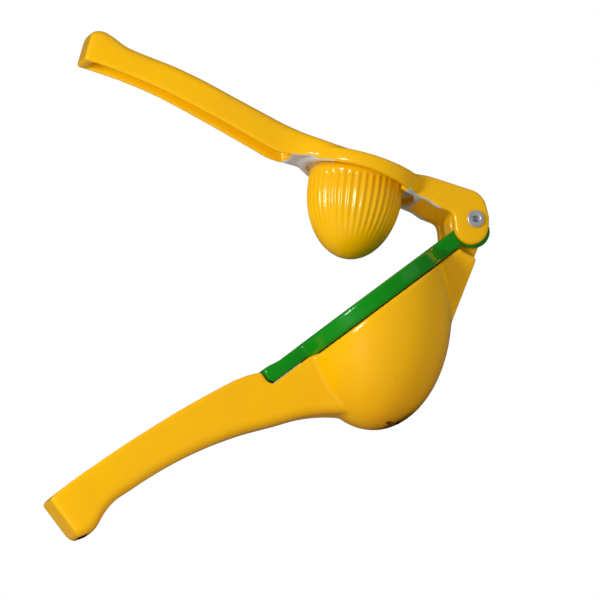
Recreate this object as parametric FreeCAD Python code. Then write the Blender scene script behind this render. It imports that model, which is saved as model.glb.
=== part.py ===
import FreeCAD, Part
import math
import os

os.makedirs("parts", exist_ok=True)

# Every shape is drawn about the hinge pin: X runs away from the handles, Y away
# from the side that is seen, Z up from the rim. A reach is a distance from the
# pin toward the handle ends, and a height is measured up from the pin's axis.
# place_on_table turns and lifts the finished pieces to where they stand.

# Pin and the stack of lugs along it
pin_radius = 2.4
pin_running_gap = 0.06
pin_seat_gap = 0.02
head_radius = 3.7
head_height = 1.1
head_crown = 0.6
head_flat_share = 0.72
head_gap = 0.2
rolled_lip = 0.5
rolled_flat_share = 0.8
rolled_hole_radius = 1.5
rolled_hole_depth = 4.0
rolled_hole_cone = 0.9
centre_lug_width = 12.0
insert_lug_width = 4.5
ear_width = 4.2
side_gap = 0.3

# Lower bowl
rim_radius = 37.0
rim_reach = 56.3
rim_height = -5.9
bowl_depth = 44.4
bowl_lean = 15.5
bowl_wall = 2.3
foot_flat_radius = 4.0

# Hinge bracket of the lower bowl
centre_lug_radius = 8.6
saddle_gap = 0.3
bracket_peak_reach = 11.2
bracket_hollow = (10.9, -9.4)
bracket_corner = (8.1, -13.4)
bracket_toe = (9.7, -14.7)
bracket_foot = (40.0, -32.5)
bracket_root_reach = 60.0
neck_reach = 20.0
lug_flange_gap = 2.1

# Lower handle, as stations of distance from the rim's centre, top height, bottom
# height and half width
lower_profile = [
    (27.7, -6.5, -41.5, 13.5),
    (35.7, -5.0, -35.0, 10.6),
    (43.7, -3.0, -29.0, 9.0),
    (52.7, 0.2, -23.8, 8.4),
    (65.2, 5.3, -19.0, 8.1),
    (80.7, 8.1, -13.2, 7.8),
    (95.7, 10.0, -9.1, 7.6),
    (113.7, 11.6, -6.0, 7.4),
    (131.7, 12.7, -4.6, 7.4),
    (143.2, 13.1, -4.4, 7.7),
    (149.7, 13.3, -6.0, 8.1),
    (155.7, 13.3, -8.5, 8.5),
    (160.2, 13.2, -8.9, 8.7),
    (165.2, 12.6, -7.4, 8.6),
]
lower_top_round = 1.0
lower_bottom_round = 4.2
channel_wall = 2.4
channel_floor = 2.6
channel_overrun = 6.0
lower_channel_ease = 1.2
lower_channel_start = 64.7
lower_channel_end = 160.7

# Green insert bowl
flange_height = 7.3
flange_gap = 0.3
flange_edge_round = 0.9
insert_side_setback = 5.8
insert_floor_gap = 4.8
insert_lean_setback = 8.3
insert_wall = 1.9
mouth_flare = 1.4
insert_lug_radius = 7.6
insert_lug_drop = 4.1
lug_arm_root = 7.4
tab_length = 20.7
tab_half_width = 7.4
tab_thickness = 6.2
tab_lip = [(1.6, 1.1), (4.5, 0.88), (9.9, 0.0)]
tab_root = 3.8
tab_gap = 0.35
tab_edge_round = 0.8
tab_nose = (2.4, 2.6)
notch_nose = (1.4, 1.8)

# Drain slots through both bowls
slot_width = 2.6
slot_length = 6.5
slot_circle_radius = 6.9
slot_count = 6

# Press arm, in its closed place
ring_setback = 7.3
ring_radius = 27.0
ring_underside = 5.4
ring_height = 3.4
ring_shoulder = 1.6
tray_radius = 22.6
tray_floor = 2.4
skirt_wall = 3.4
skirt_hinge_reach = 16.0
skirt_hinge_height = 0.9
skirt_crest_reach = 50.0
skirt_crest_height = 2.2
skirt_handle_reach = 80.0
skirt_handle_height = 2.6
dome_setback = 6.1
dome_height = -1.1
dome_side_gap = 11.0
dome_floor_gap = 8.1
dome_tilt = 9.0
dome_wall = 2.6
dome_trim = 0.5
collar_spare = 2.0

# Flutes down the dome's flank, each a straight graze of a round cutter
flute_count = 41
flute_cutter_radius = 1.6
flute_depth = 0.6
flute_middle = -9.0
flute_cutter_length = 26.0

# Fork and ears of the press arm, as reach and height from point to point: a step
# of one point is straight, and a step of two is an arc through the first
ear_start = (34.0, 9.2)
ear_steps = [
    [(24.5, 10.9)],
    [(3.8, 11.3)],
    [(-0.6, 8.7), (-4.0, 3.6)],
    [(-5.7, -0.6), (-5.6, -4.4)],
    [(1.2, -11.0), (8.2, -5.6)],
    [(10.2, -0.4)],
    [(17.0, -0.2)],
    [(21.5, 1.2)],
    [(34.0, 2.3)],
]
fork_slot_reach = 23.5
lug_edge_round = 0.6

# Upper handle, as stations of distance from the ring's centre, top height, bottom
# height and half width
upper_profile = [
    (9.0, 9.4, 5.4, 22.5),
    (17.0, 10.6, 5.0, 18.6),
    (24.0, 12.0, 4.2, 14.2),
    (31.0, 13.2, 3.0, 10.6),
    (38.0, 14.6, 2.1, 8.9),
    (49.0, 16.8, 3.9, 8.5),
    (63.0, 19.3, 6.7, 8.2),
    (79.0, 22.2, 9.6, 7.9),
    (93.0, 23.8, 11.8, 7.7),
    (105.0, 24.4, 12.9, 7.6),
    (114.0, 25.2, 13.3, 7.9),
    (121.0, 27.4, 13.4, 8.3),
    (125.0, 28.0, 13.4, 8.5),
    (129.5, 26.6, 13.2, 8.4),
]
upper_top_round = 3.4
upper_bottom_round = 0.7
upper_channel_ease = 1.4
upper_channel_start = 33.0
upper_channel_end = 125.0
upper_channel_roof = 2.8

# Angle between the ring and the rim as the squeezer lies open
open_angle = 54.0
steepest_tilt = 45.0

# Modelling allowances: how far pieces of one casting run into each other, how far
# a cutter reaches past what it cuts, and what counts as flat
overlap = 1.0
past = 60.0
hair = 0.01
least_flat = 0.5
round_share = 0.45

# Faces worked out from the sizes above
centre_lug_face = centre_lug_width / 2
insert_lug_inner = centre_lug_face + side_gap
insert_lug_outer = insert_lug_inner + insert_lug_width
ear_inner = insert_lug_outer + side_gap
ear_outer = ear_inner + ear_width
bracket_half_width = insert_lug_outer
bore_radius = pin_radius + pin_running_gap
flange_bottom = rim_height + flange_gap
flange_top = flange_bottom + flange_height
rim_start = rim_reach - rim_radius
rim_end = rim_reach + rim_radius
tab_bottom = flange_top - tab_thickness
tab_end = rim_end + tab_length
insert_bottom = rim_height - bowl_depth + bowl_wall + insert_floor_gap
insert_bowl_radius = rim_radius - insert_side_setback
insert_bowl_depth = flange_bottom - insert_bottom
insert_bowl_lean = bowl_lean - insert_lean_setback
ring_top = ring_underside + ring_height
ring_reach = rim_reach - ring_setback
dome_reach = rim_reach - dome_setback
dome_radius = insert_bowl_radius - dome_side_gap
dome_depth = insert_bowl_depth - dome_floor_gap
lower_stations = [(rim_reach + station[0], *station[1:]) for station in lower_profile]
upper_stations = [(ring_reach + station[0], *station[1:]) for station in upper_profile]
up = FreeCAD.Vector(0, 0, 1)
across = FreeCAD.Vector(0, 1, 0)


def at(reach, height, y=0.0):
    return FreeCAD.Vector(-reach, y, height)


def prism(corners, inner, outer):
    """A plate with the given side outline, between two places across the width."""
    points = [at(reach, height, inner) for reach, height in corners]
    wire = Part.makePolygon(points + points[:1])
    return Part.Face(wire).extrude(across * (outer - inner))


def side_plate(start, steps, inner, outer):
    """A plate whose side outline goes from point to point in lines and arcs."""
    edges = []
    here = at(*start, inner)
    for step in steps + [[start]]:
        stops = [at(*stop, inner) for stop in step]
        if len(stops) == 2:
            edges.append(Part.Arc(here, stops[0], stops[1]).toShape())
        else:
            edges.append(Part.LineSegment(here, stops[0]).toShape())
        here = stops[-1]
    return Part.Face(Part.Wire(edges)).extrude(across * (outer - inner))


def both_sides(make, inner, outer):
    """The same plate on the near and the far side."""
    return make(-outer, -inner).fuse(make(inner, outer))


def disc(radius, inner, outer, reach=0.0, height=0.0):
    return Part.makeCylinder(radius, outer - inner, at(reach, height, inner), across)


def post(radius, bottom, top, reach):
    return Part.makeCylinder(radius, top - bottom, at(reach, bottom), up)


def block(reach_low, reach_high, half_width, bottom, top):
    corner = at(reach_high, bottom, -half_width)
    return Part.makeBox(reach_high - reach_low, 2 * half_width, top - bottom, corner)


def rounded_box_wire(reach, top, bottom, half_width, top_round, bottom_round):
    """A four-cornered section across the handle, each corner an arc."""
    turns = [
        (half_width, bottom, 1, -1, bottom_round, 1),
        (half_width, top, 1, 1, top_round, 0),
        (-half_width, top, -1, 1, top_round, 1),
        (-half_width, bottom, -1, -1, bottom_round, 0),
    ]
    diagonal = 1 - math.sqrt(0.5)
    arcs = []
    for y, height, side, level, radius, level_first in turns:
        on_side = at(reach, height - level * radius, y)
        on_level = at(reach, height, y - side * radius)
        inset = radius * diagonal
        middle = at(reach, height - level * inset, y - side * inset)
        ends = (on_level, on_side) if level_first else (on_side, on_level)
        arcs.append((ends[0], middle, ends[1]))
    edges = []
    for number, (start, middle, end) in enumerate(arcs):
        edges.append(Part.Arc(start, middle, end).toShape())
        edges.append(Part.LineSegment(end, arcs[(number + 1) % 4][0]).toShape())
    return Part.Wire(edges)


def loft_bar(stations, top_round, bottom_round):
    """A smooth bar through rounded sections, one at each station."""
    wires = []
    for reach, top, bottom, half_width in stations:
        fits = min(half_width - least_flat, (top - bottom) * round_share)
        round_low = min(bottom_round, fits)
        wires.append(rounded_box_wire(reach, top, bottom, half_width, top_round, round_low))
    return Part.makeLoft(wires, True, False)


def leaning_bowl(reach, height, radius, depth, lean):
    """Half an egg below a round mouth, its lowest point shifted toward the handle."""
    half_ball = Part.makeSphere(radius, FreeCAD.Vector(), up, -90, 0, 360)
    stretch = depth / radius
    shear = lean / radius
    matrix = FreeCAD.Matrix(1, 0, shear, -reach, 0, 1, 0, 0, 0, 0, stretch, height, 0, 0, 0, 1)
    return half_ball.transformGeometry(matrix)


def rim_wall(wall, depth, lean):
    """Width at the mouth of a wall whose true thickness is given, where it leans."""
    return wall * math.hypot(depth, lean) / depth


def drain_slots(centre_reach, bottom, top):
    """Radial slots round the lowest point of a bowl."""
    slots = []
    for number in range(slot_count):
        turn = 360.0 * number / slot_count
        ends = (slot_circle_radius - slot_length / 2, slot_circle_radius + slot_length / 2)
        height = top - bottom
        straight = ends[1] - ends[0] - slot_width
        corner = FreeCAD.Vector(ends[0] + slot_width / 2, -slot_width / 2, 0)
        slot = Part.makeBox(straight, slot_width, height, corner)
        for end in (ends[0] + slot_width / 2, ends[1] - slot_width / 2):
            round_end = Part.makeCylinder(slot_width / 2, height, FreeCAD.Vector(end, 0, 0), up)
            slot = slot.fuse(round_end)
        slot.rotate(FreeCAD.Vector(), up, turn)
        slot.translate(at(centre_reach, bottom))
        slots.append(slot)
    return slots


def lower_bowl_void():
    rim = rim_wall(bowl_wall, bowl_depth, bowl_lean)
    inner_radius = rim_radius - rim
    void = leaning_bowl(rim_reach, rim_height, inner_radius, bowl_depth - bowl_wall, bowl_lean)
    return void.fuse(post(inner_radius, rim_height, past, rim_reach))


def bracket():
    """Gusset under the hinge, with the saddle that the insert's lugs turn in."""
    foot_drop = bracket_foot[1]
    steps = [
        [bracket_hollow, bracket_corner],
        [bracket_toe],
        [bracket_foot],
        [(bracket_root_reach, foot_drop)],
        [(bracket_root_reach, rim_height)],
    ]
    start = (bracket_peak_reach, rim_height)
    web = side_plate(start, steps, -bracket_half_width, bracket_half_width)
    near_pin = -neck_reach
    web = rounded(web, lug_edge_round, lambda box: box.YLength < hair and box.XMax > near_pin)
    saddle_radius = insert_lug_radius + insert_lug_drop + saddle_gap
    web = web.cut(disc(saddle_radius, -ear_outer, ear_outer))
    lug = disc(centre_lug_radius, -centre_lug_face, centre_lug_face)
    neck_side = [
        (0.0, -centre_lug_radius),
        bracket_corner,
        (neck_reach, bracket_corner[1]),
        (neck_reach, rim_height),
        (centre_lug_radius, 0.0),
    ]
    neck = prism(neck_side, -centre_lug_face, centre_lug_face)
    return web.fuse([lug, neck])


def lower_handle():
    bar = loft_bar(lower_stations, lower_top_round, lower_bottom_round)
    void_stations = []
    for reach, top, bottom, half_width in lower_stations:
        floor = bottom + channel_floor
        void_stations.append((reach, top + channel_overrun, floor, half_width - channel_wall))
    void = loft_bar(void_stations, lower_top_round, lower_bottom_round - lower_channel_ease)
    start = rim_reach + lower_channel_start
    stretch = block(start, rim_reach + lower_channel_end, rim_radius, -past, past)
    return bar.cut(void.common(stretch))


def tab_side():
    """Side outline of the thumb tab, from inside the flange round its nose."""
    inside = rim_end - tab_root
    lip = [(tab_end - back, flange_top + rise) for back, rise in tab_lip]
    return [
        (inside, tab_bottom),
        (tab_end - tab_nose[0], tab_bottom),
        (tab_end, tab_bottom + tab_nose[1]),
        *lip,
        (inside, flange_top),
    ]


def lower_casting():
    """Outer bowl, hinge bracket and lower handle, cast as one piece."""
    bowl = leaning_bowl(rim_reach, rim_height, rim_radius, bowl_depth, bowl_lean)
    body = bowl.fuse([lower_handle(), bracket()])
    body = body.cut(lower_bowl_void())
    above_rim = block(0, rim_end, rim_radius + overlap, rim_height, past)
    lug_end = rim_start - lug_flange_gap
    keep_lug = block(-past, lug_end, centre_lug_face, rim_height - overlap, past)
    body = body.cut(above_rim.cut(keep_lug))
    notch_end = tab_end + tab_gap
    notch_side = [
        (rim_reach, tab_bottom - tab_gap),
        (notch_end - notch_nose[0], tab_bottom - tab_gap),
        (notch_end, tab_bottom + notch_nose[1]),
        (notch_end, past),
        (rim_reach, past),
    ]
    body = body.cut(prism(notch_side, -rim_radius, rim_radius))
    body = body.cut(disc(pin_radius + pin_seat_gap, -ear_outer, ear_outer))
    low = rim_height - bowl_depth
    slots = drain_slots(foot_point()[0], low - overlap, low + bowl_depth / 2)
    return body.cut(slots)


def insert_lug(inner, outer):
    """Long lobe round the pin, hanging below it, on an arm from the flange."""
    bottom = -insert_lug_drop - insert_lug_radius
    side = [
        [(0.0, insert_lug_radius), (-insert_lug_radius, 0.0)],
        [(-insert_lug_radius, -insert_lug_drop)],
        [(0.0, bottom), (insert_lug_radius, -insert_lug_drop)],
    ]
    lobe = side_plate((insert_lug_radius, 0.0), side, inner, outer)
    root = rim_start + lug_arm_root
    arm = [(0.0, flange_bottom), (root, flange_bottom), (root, flange_top), (0.0, flange_top)]
    return lobe.fuse(prism(arm, inner, outer))


def insert_casting():
    """Inner bowl with its flange, thumb tab and two hinge lugs."""
    flange = post(rim_radius, flange_bottom, flange_top, rim_reach)
    bowl = leaning_bowl(rim_reach, flange_bottom, insert_bowl_radius,
                        insert_bowl_depth, insert_bowl_lean)
    tab = prism(tab_side(), -tab_half_width, tab_half_width)
    tab = rounded(tab, tab_edge_round, lambda box: box.YLength > tab_half_width)
    flange = rounded(flange, flange_edge_round, lambda box: box.ZLength < hair)
    body = flange.fuse([bowl, tab, both_sides(insert_lug, insert_lug_inner, insert_lug_outer)])
    rim = rim_wall(insert_wall, insert_bowl_depth, insert_bowl_lean)
    inner_radius = insert_bowl_radius - rim
    void = leaning_bowl(rim_reach, flange_bottom, inner_radius,
                        insert_bowl_depth - insert_wall, insert_bowl_lean)
    mouth = Part.makeCone(inner_radius, inner_radius + mouth_flare, flange_height,
                          at(rim_reach, flange_bottom), up)
    body = body.cut(mouth).cut(void)
    body = body.cut(disc(bore_radius, -ear_outer, ear_outer))
    low = flange_bottom - insert_bowl_depth
    middle = rim_reach + insert_bowl_lean
    slots = drain_slots(middle, low - overlap, low + insert_bowl_depth / 2)
    return body.cut(slots)


def rounded(shape, radius, wanted):
    """The shape with a fillet on the edges that a test of their boxes picks."""
    edges = [edge for edge in shape.Edges if wanted(edge.BoundBox)]
    return shape.makeFillet(radius, edges)


def egg(radius, depth):
    """Dome solid about its own axis: an egg's lower half under a plain collar."""
    height = ring_top - dome_height + collar_spare
    collar = Part.makeCylinder(radius, height, FreeCAD.Vector(), up)
    ball = Part.makeSphere(radius, FreeCAD.Vector(), up, -90, 0, 360)
    stretch = FreeCAD.Matrix(1, 0, 0, 0, 0, 1, 0, 0, 0, 0, depth / radius, 0, 0, 0, 0, 1)
    return ball.transformGeometry(stretch).fuse(collar)


def flutes():
    """Straight round cutters that graze the dome's flank side by side."""
    level = flute_middle
    flank = dome_radius * math.sqrt(1 - (level / dome_depth) ** 2)
    slope = -(dome_radius ** 2 * level) / (dome_depth ** 2 * flank)
    outward = FreeCAD.Vector(1, 0, -slope).normalize()
    along = FreeCAD.Vector(slope, 0, 1).normalize()
    middle = FreeCAD.Vector(flank, 0, level) + outward * (flute_cutter_radius - flute_depth)
    start = middle - along * (flute_cutter_length / 2)
    cutters = []
    for number in range(flute_count):
        cutter = Part.makeCylinder(flute_cutter_radius, flute_cutter_length, start, along)
        cutter.rotate(FreeCAD.Vector(), up, 360.0 * number / flute_count)
        cutters.append(cutter)
    return Part.makeCompound(cutters)


def seat_dome(shape):
    """Leans a dome shape toward the hinge and sets it at its place in the ring."""
    shape.rotate(FreeCAD.Vector(), across, -dome_tilt)
    shape.translate(at(dome_reach, dome_height))
    return shape


def skirt():
    """Wall under the ring's edge, deepest at the fork and at the handle."""
    bottom = min(skirt_hinge_height, skirt_handle_height)
    wall = post(ring_radius, bottom, ring_underside + overlap, ring_reach)
    wall = wall.cut(post(ring_radius - skirt_wall, -past, past, ring_reach))
    below = [
        (skirt_hinge_reach, skirt_hinge_height),
        (skirt_crest_reach, skirt_crest_height),
        (skirt_handle_reach, skirt_handle_height),
        (skirt_handle_reach, bottom - overlap),
        (skirt_hinge_reach, bottom - overlap),
    ]
    return wall.cut(prism(below, -ring_radius - overlap, ring_radius + overlap))


def ear(inner, outer):
    """Fork arm from the ring to the lobe round the pin."""
    return side_plate(ear_start, ear_steps, inner, outer)


def upper_handle():
    return loft_bar(upper_stations, upper_top_round, upper_bottom_round)


def upper_channel():
    """Hollow of the upper handle, open on its underside."""
    void_stations = []
    for reach, top, bottom, half_width in upper_stations:
        roof = top - upper_channel_roof
        void_stations.append((reach, roof, bottom - channel_overrun, half_width - channel_wall))
    void = loft_bar(void_stations, upper_top_round - upper_channel_ease, upper_bottom_round)
    start = ring_reach + upper_channel_start
    return void.common(block(start, ring_reach + upper_channel_end, ring_radius, -past, past))


def press_arm():
    """Ring, dome, fork and upper handle, cast as one piece, drawn closed."""
    plate = post(ring_radius, ring_underside, ring_top, ring_reach)
    plate = rounded(plate, ring_shoulder, lambda box: box.ZMin > ring_top - hair)
    dome = seat_dome(egg(dome_radius, dome_depth).cut(flutes()))
    trim = block(0, 2 * ring_reach, ring_radius, ring_top - dome_trim, past)
    dome = dome.cut(trim)
    ears = both_sides(ear, ear_inner, ear_outer)
    body = plate.fuse([dome, skirt(), ears, upper_handle()])
    body = body.cut(post(tray_radius, ring_underside + tray_floor, past, ring_reach))
    body = body.cut(seat_dome(egg(dome_radius - dome_wall, dome_depth - dome_wall)))
    body = body.cut(upper_channel())
    body = body.cut(block(-past, fork_slot_reach, ear_inner, -past, past))
    return body.cut(disc(bore_radius, -ear_outer - overlap, ear_outer + overlap))


def rivet():
    """Hinge rivet: a domed factory head, a shank and a rolled, hollow end."""
    seat = ear_outer + head_gap
    face = seat + head_height
    hole_end = rolled_hole_depth - face
    outline = [
        (0.0, face),
        (head_radius * head_flat_share, face),
        (head_radius, face - head_crown),
        (head_radius, seat),
        (pin_radius, seat),
        (pin_radius, -seat),
        (head_radius, -seat),
        (head_radius, rolled_lip - face),
        (head_radius * rolled_flat_share, -face),
        (rolled_hole_radius + rolled_lip, -face),
        (rolled_hole_radius, rolled_lip - face),
        (rolled_hole_radius, hole_end),
        (0.0, hole_end + rolled_hole_cone),
    ]
    points = [FreeCAD.Vector(0, y, radius) for radius, y in outline]
    section = Part.Face(Part.makePolygon(points + points[:1]))
    return section.revolve(FreeCAD.Vector(), across, 360)


def lowest(direction_tilt):
    """Heights of the bowl's foot and of the handle's heel below the pin, when tilted."""
    turn = math.radians(direction_tilt)
    along = -math.sin(turn)
    upward = math.cos(turn)
    centre = along * rim_reach + upward * rim_height
    sweep = math.hypot(rim_radius * along, bowl_lean * along - bowl_depth * upward)
    heel = min(along * reach + upward * bottom for reach, top, bottom, half in lower_stations)
    return centre - sweep, heel


def table_tilt():
    """Tilt at which the bowl's foot and the handle's heel stand at one level."""
    low, high = 0.0, steepest_tilt
    for halving in range(60):
        middle = (low + high) / 2
        foot, heel = lowest(middle)
        if heel > foot:
            low = middle
        else:
            high = middle
    return low


def foot_point():
    """The point of the bowl that the squeezer stands on, as reach and height."""
    along = -math.sin(math.radians(tilt))
    upward = math.cos(math.radians(tilt))
    slope = bowl_depth * upward - bowl_lean * along
    sweep = math.hypot(rim_radius * along, slope)
    reach = rim_reach + (bowl_lean * slope - rim_radius ** 2 * along) / sweep
    return reach, rim_height - bowl_depth * slope / sweep


def place_on_table(shape, lift):
    shape.rotate(FreeCAD.Vector(), across, -tilt)
    shape.translate(up * lift)
    return shape


tilt = table_tilt()
foot_level = max(lowest(tilt))
bodies = {
    "lower_casting": lower_casting(),
    "hinge_rivet": rivet(),
    "insert_bowl": insert_casting(),
    "press_arm": press_arm(),
}
bodies["press_arm"].rotate(FreeCAD.Vector(), across, open_angle)
sink = foot_flat_radius ** 2 / (2 * rim_radius)
for name, shape in bodies.items():
    place_on_table(shape, -foot_level - sink)
span = lower_stations[-1][0] + rim_end
floor = Part.makeBox(2 * span, 2 * span, past, FreeCAD.Vector(-span, -span, -past))
bodies["lower_casting"] = bodies["lower_casting"].cut(floor)
whole = Part.makeCompound(list(bodies.values())).optimalBoundingBox()
middle = FreeCAD.Vector(-(whole.XMin + whole.XMax) / 2, 0, 0)
for name, shape in bodies.items():
    shape.translate(middle)
    shape.exportStep("parts/" + name + ".step")
    print(name, shape.isValid(), len(shape.Solids), round(shape.Volume), shape.optimalBoundingBox())
foot = Part.Vertex(at(*foot_point()))
place_on_table(foot, -foot_level - sink)
foot.translate(middle)
print("tilt", tilt, "pin at", middle.x, -foot_level - sink)
print("foot at", foot.X, foot.Z)
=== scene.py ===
import math

import bpy
import numpy as np
from bpy.props import FloatProperty, FloatVectorProperty, IntProperty, PointerProperty
from mathutils import Matrix


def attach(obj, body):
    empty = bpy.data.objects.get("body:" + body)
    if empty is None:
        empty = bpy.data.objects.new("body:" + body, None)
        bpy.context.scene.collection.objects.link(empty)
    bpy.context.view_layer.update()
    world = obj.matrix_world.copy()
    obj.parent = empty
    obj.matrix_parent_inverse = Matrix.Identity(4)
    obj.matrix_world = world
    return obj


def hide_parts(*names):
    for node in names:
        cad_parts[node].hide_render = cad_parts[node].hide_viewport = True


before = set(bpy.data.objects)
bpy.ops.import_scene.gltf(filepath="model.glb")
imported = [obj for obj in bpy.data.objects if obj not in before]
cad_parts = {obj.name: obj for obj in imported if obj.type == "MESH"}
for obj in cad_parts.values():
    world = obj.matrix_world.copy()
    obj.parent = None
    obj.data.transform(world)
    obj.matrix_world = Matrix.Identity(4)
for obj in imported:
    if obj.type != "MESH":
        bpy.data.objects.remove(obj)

bl_info = {
    "name": "Hinged Lemon Squeezer",
    "version": (1, 0, 0),
    "blender": (4, 5, 0),
    "location": "View3D > Sidebar > Squeezer",
    "description": "Builds a hinged citrus press of enamelled castings over its CAD frame",
    "category": "Object",
}

# Where the parts turn and stand, in metres and degrees
PIN = np.array([0.1036424, 0.0, 0.0694608])
TILT = 16.4034
OPEN = 54.0
MM = 0.001

# Outer bowl
RIM_REACH, RIM_HEIGHT, RIM_RADIUS = 56.3, -5.9, 37.0
BOWL_DEPTH, BOWL_LEAN, BOWL_WALL = 44.4, 15.5, 2.3
RIM_WALL = BOWL_WALL * math.hypot(BOWL_DEPTH, BOWL_LEAN) / BOWL_DEPTH
FOOT_REACH = 77.9

# Hinge bracket of the outer bowl, and the notch for the thumb tab
BRACKET_PEAK = (11.2, RIM_HEIGHT)
BRACKET_HOLLOW = (10.9, -9.4)
BRACKET_CORNER = (8.1, -13.4)
BRACKET_LINE = [(9.7, -14.7), (24.7, -23.5), (40.0, -32.5)]
BRACKET_ROOT, BRACKET_TOP_REACH = 60.0, 30.0
LUG_RADIUS, NECK_REACH = 8.6, 20.0
NOTCH_FLOOR, NOTCH_TOP, NOTCH_NOSE, NOTCH_END = -4.66, 31.7, (112.95, -2.7), 114.35

# Insert bowl with its flange
FLANGE_BOTTOM, FLANGE_TOP = -5.6, 1.7
INSERT_RADIUS, INSERT_DEPTH, INSERT_LEAN, INSERT_WALL = 31.2, 37.6, 7.2, 1.9
INSERT_RIM = INSERT_WALL * math.hypot(INSERT_DEPTH, INSERT_LEAN) / INSERT_DEPTH
MOUTH_FLARE = 1.4
TAB_HALF_WIDTH = 7.4
TAB_SIDE = [(89.5, -4.5), (111.6, -4.5), (114.0, -1.9), (112.4, 2.8), (109.5, 2.6),
            (104.1, 1.7), (89.5, 1.7)]
TAB_ROUNDS = [0.3, 0.8, 1.2, 0.8, 1.5, 3.0, 0.3]
LUG_EYE_RADIUS, LUG_LOBE_RADIUS, LUG_LOBE, LUG_ROOT = 5.6, 7.4, (2.0, -3.4), 26.7

# Drain slots through both bowls
SLOT_COUNT, SLOT_CIRCLE, SLOT_HALF_LENGTH, SLOT_HALF_WIDTH = 6, 6.9, 1.95, 1.3

# Widths along the pin
CENTRE_FACE = 6.0
LUG_INNER, LUG_OUTER = 6.3, 10.8
EAR_INNER, EAR_OUTER = 11.1, 15.3
PIN_RADIUS, SEAT_RADIUS, BORE_RADIUS = 2.4, 2.42, 2.46
BORE_END = 17
HEAD_RADIUS, HEAD_HEIGHT, HEAD_GAP = 3.7, 1.1, 0.2

# Press arm
RING_REACH, RING_RADIUS, RING_UNDER, RING_TOP = 49.0, 27.0, 5.4, 9.6
TRAY_RADIUS, TRAY_FLOOR = 22.6, 7.8
DOME_REACH, DOME_HEIGHT, DOME_RADIUS, DOME_DEPTH = 50.2, -1.1, 20.2, 29.5
DOME_TILT, DOME_WALL, FLUTED_SKIN = 9.0, 2.6, 2.0
SKIRT_INNER, SKIRT_REACHES, SKIRT_BOTTOMS = 23.6, [22.0, 50.0, 76.0], [1.4, 3.4, 3.0]
FORK_SLOT_REACH = 23.5
EAR_BACK = [(4.2, 11.9), (-0.4, 10.4), (-3.8, 6.2), (-6.2, 1.6), (-6.8, -3.0)]
EAR_FOOT = [(0.4, -11.0), (7.6, -5.2)]
EAR_THROAT = [(8.8, -2.4), (10.0, -0.7), (11.6, -0.1), (17.0, 0.0), (21.5, 1.4)]
EAR_ROOT = [(34.0, 2.3), (34.0, 10.0), (24.5, 11.6)]

# Painted reflection of the floor under the ring, a pale patch with a metal grain, in metres, each
# given as the two ends of a soft edge:
# its top, and where it starts and stops, measured along the arm from the ring's axis
PAINTED_REFLECTION_TOP, PAINTED_REFLECTION_START, PAINTED_REFLECTION_END = (0.0062, 0.0067), (0.0165, 0.0175), (0.033, 0.034)

# Handles: wall beside the channel, metal behind it, where it runs and how soon it
# deepens, and how the end face rolls over
HANDLE_WALL = 2.4
LOWER_WEB, LOWER_CHANNEL, LOWER_EASE = 2.6, (121.0, 217.0), 9.0
UPPER_WEB, UPPER_CHANNEL, UPPER_EASE = 2.8, (82.0, 174.0), 7.0
END_ROLL, END_TAPER = 1.1, 0.14

# Handle stations: reach, top, bottom, half width
LOWER_STATIONS = np.array([
    (84.0, -6.5, -41.5, 13.5), (92.0, -5.0, -35.0, 10.6), (100.0, -3.0, -29.0, 9.0),
    (109.0, 0.2, -23.8, 8.4), (121.5, 5.3, -19.0, 8.1), (137.0, 8.1, -13.2, 7.8),
    (152.0, 10.0, -9.1, 7.6), (170.0, 11.6, -6.0, 7.4), (188.0, 12.7, -4.6, 7.4),
    (199.5, 13.1, -4.4, 7.7), (206.0, 13.3, -6.0, 8.1), (212.0, 13.3, -8.5, 8.5),
    (216.5, 13.2, -8.9, 8.7), (221.5, 12.6, -7.4, 8.6)])
UPPER_STATIONS = np.array([
    (58.0, 10.0, 5.4, 22.5), (66.0, 11.3, 5.0, 18.6), (73.0, 12.7, 4.2, 14.2),
    (80.0, 13.8, 3.0, 10.6), (87.0, 14.9, 2.1, 8.9), (98.0, 16.8, 3.9, 8.5),
    (112.0, 19.3, 6.7, 8.2), (128.0, 22.2, 9.6, 7.9), (142.0, 23.8, 11.8, 7.7),
    (154.0, 24.4, 12.9, 7.6), (163.0, 25.2, 13.3, 7.9), (170.0, 27.4, 13.4, 8.3),
    (174.0, 28.0, 13.4, 8.5), (178.5, 26.6, 13.2, 8.4)])

# The photo's view: its right and up directions and, in metres, the width that it
# shows at the pin's distance and how far left of and below the pin its middle lies
VIEW_RIGHT = (0.9006, -0.2478, -0.3583)
VIEW_UP = (0.3191, -0.1848, 0.9300)
VIEW_WIDTH, VIEW_LEFT, VIEW_BELOW = 0.2542, 0.0703, 0.0314


# Surfaces worked out from their formulas

def place(points, turn):
    """Reach, width and height about the pin to the row frame: a point is turned
    by the given degrees about the pin's axis and then moved to the pin."""
    t = math.radians(turn)
    reach, width, height = np.moveaxis(np.asarray(points, float), -1, 0)
    x = -reach * math.cos(t) - height * math.sin(t)
    z = -reach * math.sin(t) + height * math.cos(t)
    return np.stack([x, width, z], -1) * MM + PIN


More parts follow.
